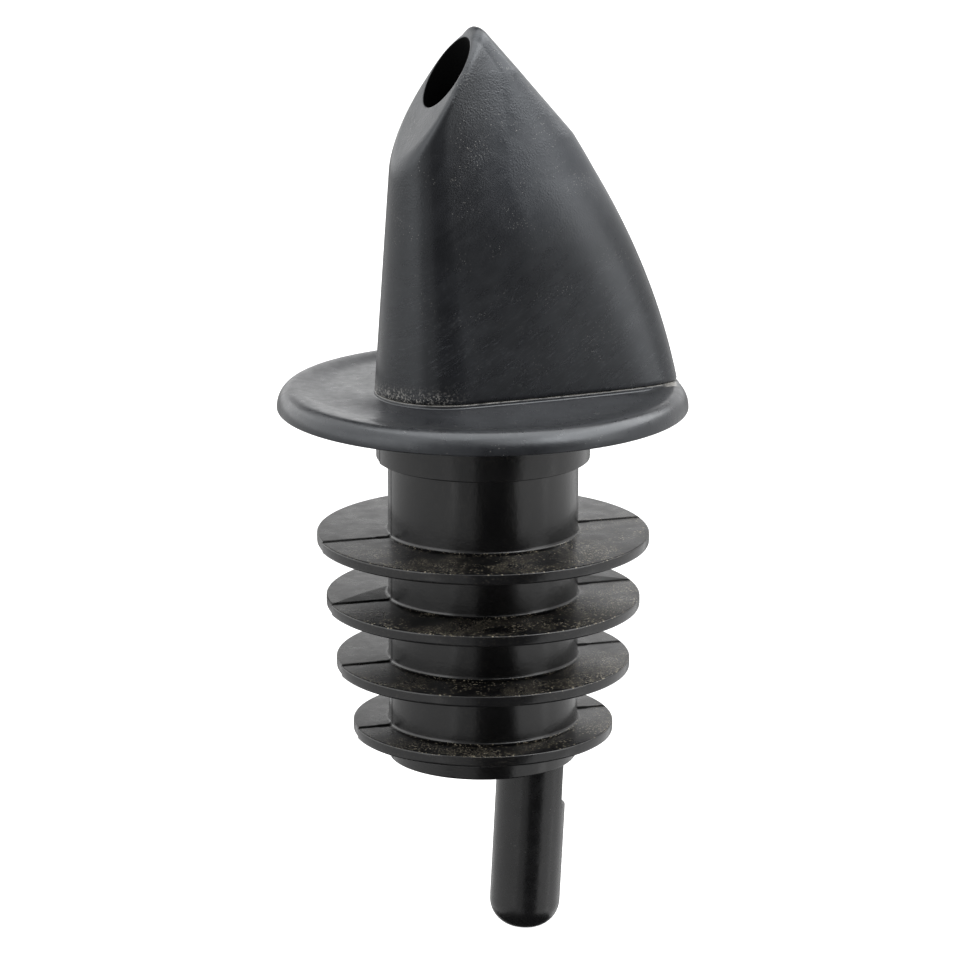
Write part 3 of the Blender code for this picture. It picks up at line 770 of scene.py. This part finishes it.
def make_boss(material):
    """The low wall under the hood: up its inside, over its top and down a small flare."""
    rings = [boss_ring(BOSS_WALL, BOSS_FOOT_Z), boss_ring(BOSS_WALL, BOSS_TOP_Z)]
    for inset, fall in BOSS_EDGE:
        rings.append(boss_ring(inset, BOSS_TOP_Z - fall))
    for turn in quarter_turn(0, 6):
        z = DISH[1] - BOSS_SINK + BOSS_FLARE * (1 - math.sin(turn))
        rings.append(boss_ring(-BOSS_FLARE * (1 - math.cos(turn)), z))
    rings.append(boss_ring(-BOSS_FLARE, BOSS_FOOT_Z))
    return skin("boss_shape", rings, material)


def make_collar(material):
    low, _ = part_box("collar")
    collar = turned("collar_disc", collar_profile(low.z), material)
    cut(collar, make_boss(material), "UNION")
    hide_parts("collar")
    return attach(collar, "root")


# ---------------------------------------------------------------- cork
SLEEVE_RADIUS = 8.26 * MM
SLEEVE_FOOT_Z = -3.94 * MM
STEM_RADIUS = 7.37 * MM
FOOT_RADIUS = 7.3 * MM
CORK_BORE_RADIUS = 6.4 * MM
CORK_FLOOR = 3.0 * MM
FIN_TOPS = [v * MM for v in (-9.8, -14.8, -19.75, -24.9)]
FIN_RADII = [v * MM for v in (12.85, 12.15, 11.4, 10.12)]
FIN_THICKNESS = 0.87 * MM
FIN_DROP = 0.25 * MM  # how much thicker a fin is at its root
SLEEVE_ROUNDING = 0.12 * MM
FIN_ROUNDINGS = [v * MM for v in (0.35, 0.16, 0.22, 0.3)]  # root, upper edge, lower edge, root
FOOT_ROUNDING = 0.15 * MM
BORE_ROUNDING = 0.1 * MM
MOULD_STEP = 0.07 * MM
MOULD_CORE_RADIUS = 7.0 * MM  # inside this the bore and the floor stay as they are
MOULD_ENDS = (0.3 * MM, 0.1 * MM)  # how much stays as it is at the foot and at the top
HOLE_HALF = 6 * MM  # half the length of the plugs that cut the cork's floor
TUBE_HOLE_RADIUS = 2.85 * MM
BUSH_GAP = 0.1 * MM


def part_moulds(cork, bottom, top):
    """Sets one mould half off from the other by a hair, so the parting line shows as a small step."""
    across = Vector((-math.sin(PARTING_AZIMUTH), math.cos(PARTING_AZIMUTH), 0.0))
    for vertex in cork.data.vertices:
        spot = vertex.co
        radius = math.hypot(spot.x, spot.y)
        inner = radius < MOULD_CORE_RADIUS or not bottom + MOULD_ENDS[0] < spot.z < top - MOULD_ENDS[1]
        if inner or spot.dot(across) < 0.0:
            continue
        share = (radius - MOULD_STEP) / radius
        vertex.co = (spot.x * share, spot.y * share, spot.z + MOULD_STEP)


def cork_profile(low, high):
    """From the sleeve's top down over the fins, and up the bore again."""
    profile = [(SLEEVE_RADIUS, high), (SLEEVE_RADIUS, SLEEVE_FOOT_Z), (STEM_RADIUS, SLEEVE_FOOT_Z)]
    roundings = [SLEEVE_ROUNDING] * 3
    for top, radius in zip(FIN_TOPS, FIN_RADII):
        under = top - FIN_THICKNESS
        profile += [(STEM_RADIUS, top), (radius, top), (radius, under), (STEM_RADIUS, under - FIN_DROP)]
        roundings += FIN_ROUNDINGS
    floor = low + CORK_FLOOR
    profile += [(FOOT_RADIUS, low), (0.0, low), (0.0, floor)]
    profile += [(CORK_BORE_RADIUS, floor), (CORK_BORE_RADIUS, high)]
    roundings += [FOOT_ROUNDING, 0.0, 0.0, BORE_ROUNDING, BORE_ROUNDING]
    return rounded(profile, roundings)


def make_cork(material):
    low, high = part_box("cork")
    cork = turned("cork_body", cork_profile(low.z, high.z), material)
    part_moulds(cork, low.z, high.z)
    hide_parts("cork")
    tube_hole = plug("tube_hole", TUBE_HOLE_RADIUS, -HOLE_HALF, HOLE_HALF, material, 96)
    tube_hole.matrix_world = Matrix.Translation(tube_origin()) @ TUBE_LEAN
    bpy.context.view_layer.update()
    cut(cork, tube_hole)
    bush_low, bush_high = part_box("vent_ball_retainer")
    bush_radius = (bush_high.x - bush_low.x) / 2 + BUSH_GAP
    bush_hole = plug("bush_hole", bush_radius, -HOLE_HALF, HOLE_HALF, material, 64)
    bush_hole.location = ((bush_low.x + bush_high.x) / 2, 0.0, low.z)
    bpy.context.view_layer.update()
    cut(cork, bush_hole)
    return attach(cork, "root")


# ---------------------------------------------------------------- metering tube
TUBE_LEAN = UP.rotation_difference(TUBE_UP).to_matrix().to_4x4()
TUBE_RADIUS = 2.75 * MM
TUBE_BORE_RADIUS = 2.15 * MM
# Heights along the tube's axis count from the cork's bottom face.
TUBE_FOOT = -14.62 * MM
TUBE_FLOOR = -14.05 * MM
TUBE_TOP = 2.8 * MM
TUBE_TOP_EDGE = 0.1 * MM
FOOT_CURVE = 2.2 * MM
FLOOR_CURVE = 1.4 * MM
WINDOW_HALF_WIDTH = 1.2 * MM
WINDOW_DEPTHS = (0.5 * MM, 6 * MM)  # from the tube's axis outwards
WINDOW_HEIGHTS = (-4.7 * MM, -0.6 * MM)
WINDOW_AZIMUTH = math.radians(-28)


def tube_origin():
    """Where the tube's axis crosses the cork's bottom face."""
    ball_low, ball_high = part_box("metering_ball_lower")
    centre = (ball_low + ball_high) / 2
    cork_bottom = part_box("cork")[0].z
    return centre + TUBE_UP * ((cork_bottom - centre.z) / TUBE_UP.z)


def tube_profile():
    """From the bore over the top edge, down the outside, round the foot and back up the floor's curve."""
    edge = TUBE_TOP_EDGE
    profile = [(TUBE_BORE_RADIUS, TUBE_TOP - edge), (TUBE_BORE_RADIUS + edge, TUBE_TOP)]
    profile += [(TUBE_RADIUS - edge, TUBE_TOP), (TUBE_RADIUS, TUBE_TOP - edge)]
    for turn in quarter_turn(0, 12):
        out = TUBE_RADIUS - FOOT_CURVE + FOOT_CURVE * math.cos(turn)
        profile.append((out, TUBE_FOOT + FOOT_CURVE * (1 - math.sin(turn))))
    profile += [(0.0, TUBE_FOOT), (0.0, TUBE_FLOOR)]
    for turn in quarter_turn(0, 8):
        out = TUBE_BORE_RADIUS - FLOOR_CURVE + FLOOR_CURVE * math.sin(turn)
        profile.append((out, TUBE_FLOOR + FLOOR_CURVE * (1 - math.cos(turn))))
    return profile


def window_cutter(material):
    """A block that reaches from inside the tube out through one side."""
    near, far = WINDOW_DEPTHS
    half = WINDOW_HALF_WIDTH
    corners = [(near, -half), (far, -half), (far, half), (near, half)]
    points = [(x, y, z) for z in WINDOW_HEIGHTS for x, y in corners]
    sides = [(i, (i + 1) % 4, 4 + (i + 1) % 4, 4 + i) for i in range(4)]
    return mesh_object("window", points, [(0, 1, 2, 3), (4, 5, 6, 7)] + sides, material)


def make_tube(material):
    tube = turned("tube_shell", tube_profile(), material, 144)
    origin = tube_origin()
    place_mesh(tube, Matrix.Translation(origin) @ TUBE_LEAN)
    window = window_cutter(material)
    window.matrix_world = Matrix.Translation(origin) @ Matrix.Rotation(WINDOW_AZIMUTH, 4, "Z")
    bpy.context.view_layer.update()
    cut(tube, window)
    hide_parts("metering_tube")
    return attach(tube, "root")


def make_ball(node, material):
    low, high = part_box(node)
    radius = (high.z - low.z) / 2
    steps = 40
    turns = [math.pi * step / steps for step in range(1, steps)]
    arc = [(radius * math.sin(turn), -radius * math.cos(turn)) for turn in turns]
    ball = turned(node + "_fine", [(0.0, -radius), *arc, (0.0, radius)], material, 64)
    ball.location = (low + high) / 2
    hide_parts(node)
    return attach(ball, node)


# ---------------------------------------------------------------- stage, light, camera
CAMERA_AZIMUTH = math.radians(-25.0)
CAMERA_ELEVATION = math.radians(14.48)
CAMERA_DISTANCE = 366.5 * MM
CAMERA_LENS = 178.7  # in millimetres, as the sensor
CAMERA_SENSOR = 36.0
CAMERA_CLIP = 10 * MM
AIM_Z = -5.83 * MM
AXIS_RIGHT_OF_CENTRE = 0.203 * MM
FLOOR_HALF = 3.0
FLOOR_GAP = 0.05 * MM
FLOOR_GREY = (0.25, 0.25, 0.25)
FLOOR_ROUGHNESS = 0.9
FLOOR_GLOW = 0.95
WORLD_GLOW = 0.03
WHITE = (1.0, 1.0, 1.0, 1.0)


def direction_at(azimuth, elevation):
    """The direction from the object; azimuths count from -Y towards +X."""
    flat = math.cos(elevation)
    return Vector((math.sin(azimuth) * flat, -math.cos(azimuth) * flat, math.sin(elevation)))


def make_camera():
    camera = bpy.data.objects.new("camera", bpy.data.cameras.new("camera"))
    bpy.context.scene.collection.objects.link(camera)
    towards = direction_at(CAMERA_AZIMUTH, CAMERA_ELEVATION)
    right = Vector((math.cos(CAMERA_AZIMUTH), math.sin(CAMERA_AZIMUTH), 0.0))
    aim = UP * AIM_Z - right * AXIS_RIGHT_OF_CENTRE
    camera.location = aim + towards * CAMERA_DISTANCE
    camera.rotation_euler = (-towards).to_track_quat("-Z", "Y").to_euler()
    camera.data.lens = CAMERA_LENS
    camera.data.sensor_width = CAMERA_SENSOR
    camera.data.clip_start = CAMERA_CLIP
    bpy.context.scene.camera = camera


def make_floor():
    """A pale plain that glows evenly and stays out of the glossy reflections."""
    size, z = FLOOR_HALF, cad_low.z - FLOOR_GAP
    corners = [(-size, -size, z), (size, -size, z), (size, size, z), (-size, size, z)]
    nodes = Nodes("floor_white")
    nodes.shader.inputs["Emission Color"].default_value = WHITE
    nodes.shader.inputs["Emission Strength"].default_value = FLOOR_GLOW
    floor = mesh_object("floor", corners, [(0, 1, 2, 3)], nodes.finish(FLOOR_GREY, FLOOR_ROUGHNESS))
    floor.visible_glossy = False
    floor.visible_shadow = False


# Each panel's name, its azimuths and elevations as seen from the object, in degrees, and its brightness.
# These azimuths count from the camera, positive to its right.
PANELS = (
    ("left_near", (-36, -8), (-45, 25), 0.5),
    ("left_low", (-150, -36), (-45, 0), 0.8),
    ("left_front", (-70, -36), (0, 28), 2.5),
    ("left_high", (-150, -70), (0, 28), 2.2),
    ("back_high", (150, 210), (0, 28), 1.4),
    ("back_low", (150, 210), (-45, 0), 0.4),
    ("right_rear", (82, 150), (-45, 28), 1.05),
    ("right_high", (58, 82), (0, 28), 2.8),
    ("right_near", (42, 82), (-45, 0), 1.0),
    ("upper_left", (-130, -50), (28, 62), 2.2),
    ("upper_front", (-45, 0), (28, 62), 1.1),
    ("upper_front_right", (14, 50), (28, 62), 2.8),
    ("upper_right", (50, 130), (28, 62), 6.0),
    ("overhead", (-30, 30), (65, 115), 4.5),
)
PANEL_DISTANCE = 0.5


def softbox(name, azimuths, elevations, brightness):
    """A soft panel that fills a window of the object's surroundings. The camera doesn't see it."""
    light = bpy.data.lights.new(name, "AREA")
    light.shape = "RECTANGLE"
    light.size = 2 * PANEL_DISTANCE * math.tan(math.radians(azimuths[1] - azimuths[0]) / 2)
    light.size_y = 2 * PANEL_DISTANCE * math.tan(math.radians(elevations[1] - elevations[0]) / 2)
    light.energy = brightness * math.pi * light.size * light.size_y
    azimuth = CAMERA_AZIMUTH + math.radians(sum(azimuths) / 2)
    towards = direction_at(azimuth, math.radians(sum(elevations) / 2))
    panel = bpy.data.objects.new(name, light)
    bpy.context.scene.collection.objects.link(panel)
    panel.location = towards * PANEL_DISTANCE
    panel.rotation_euler = towards.to_track_quat("Z", "Y").to_euler()
    panel.visible_camera = False


def make_world():
    world = bpy.data.worlds.new("studio")
    world.use_nodes = True
    back = world.node_tree.nodes["Background"]
    back.inputs["Color"].default_value = WHITE
    back.inputs["Strength"].default_value = WORLD_GLOW
    bpy.context.scene.world = world
    bpy.context.scene.view_settings.view_transform = "Standard"


def main():
    make_hood(hood_material())
    make_collar(collar_material())
    make_cork(cork_material())
    make_tube(tube_material())
    steel = steel_material()
    for node in ("metering_ball_upper", "metering_ball_lower", "vent_ball"):
        make_ball(node, steel)
    # These pieces keep their CAD meshes and only get a finish.
    kept = {
        "vent_tube": light_plastic("natural_plastic", (0.72, 0.71, 0.66), (0.64, 0.63, 0.58)),
        "valve_block": light_plastic("block_grey", (0.32, 0.33, 0.34), (0.27, 0.28, 0.29)),
        "vent_ball_retainer": light_plastic("retainer_white", (0.78, 0.78, 0.76), (0.70, 0.70, 0.67)),
    }
    for node, material in kept.items():
        for slot in frame["nodes"][node].material_slots:
            slot.material = material
    make_floor()
    make_world()
    for name, azimuths, elevations, brightness in PANELS:
        softbox(name, azimuths, elevations, brightness)
    make_camera()


main()
